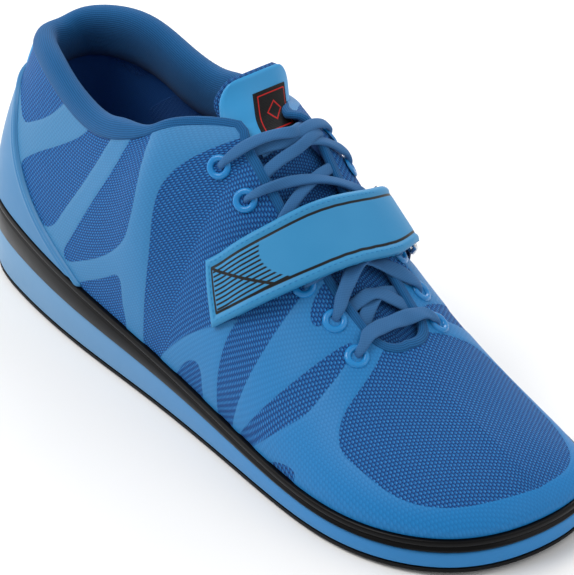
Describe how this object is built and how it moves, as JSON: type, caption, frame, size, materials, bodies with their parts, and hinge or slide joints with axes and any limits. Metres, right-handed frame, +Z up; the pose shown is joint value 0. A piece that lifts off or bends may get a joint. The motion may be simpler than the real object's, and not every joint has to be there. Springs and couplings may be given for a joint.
{
  "type": "weightlifting shoe",
  "caption": "Low weightlifting shoe for the right foot with a wedge sole, mesh upper, padded collar, laces and a wide instep strap through a ring.",
  "frame": {"origin": "middle of the footprint on the floor: the middle of the shoe's length and width at the outsole's underside", "axes": "+Y towards the toe, +X towards the outer side of the right foot, +Z up"},
  "size_m": [0.1043, 0.2987, 0.1273],
  "materials": {
    "outsole_rubber": "matte black",
    "midsole_foam": "satin light blue",
    "band_rubber": "satin black",
    "lining_cloth": "matte navy",
    "upper_mesh": "matte blue mesh",
    "tongue_cloth": "matte blue",
    "collar_knit": "matte denim blue knit",
    "overlay_film": "satin light blue",
    "counter_film": "satin light blue",
    "tab_film": "satin blue",
    "label_cloth": "matte black",
    "lace_cloth": "matte denim blue",
    "strap_web": "satin sky blue",
    "ring_metal": "polished",
    "loop_web": "matte blue",
    "eyelet_ring": "gloss bright blue"
  },
  "bodies": {
    "root": {"outsole": "outsole_rubber", "midsole": "midsole_foam", "sole_band": "band_rubber", "insole": "lining_cloth", "upper": "upper_mesh", "tongue": "tongue_cloth", "collar": "collar_knit", "toe_guard": "overlay_film", "heel_counter": "counter_film", "heel_tab": "tab_film", "tongue_label": "label_cloth", "laces": "lace_cloth", "strap": "strap_web", "strap_ring": "ring_metal", "ring_loop": "loop_web", "eyelet_lateral_1": "eyelet_ring", "eyelet_medial_1": "eyelet_ring", "eyelet_lateral_2": "eyelet_ring", "eyelet_medial_2": "eyelet_ring", "eyelet_lateral_3": "eyelet_ring", "eyelet_medial_3": "eyelet_ring", "eyelet_lateral_4": "eyelet_ring", "eyelet_medial_4": "eyelet_ring", "eyelet_lateral_5": "eyelet_ring", "eyelet_medial_5": "eyelet_ring", "eyelet_lateral_6": "eyelet_ring", "eyelet_medial_6": "eyelet_ring"}
  },
  "joints": []
}
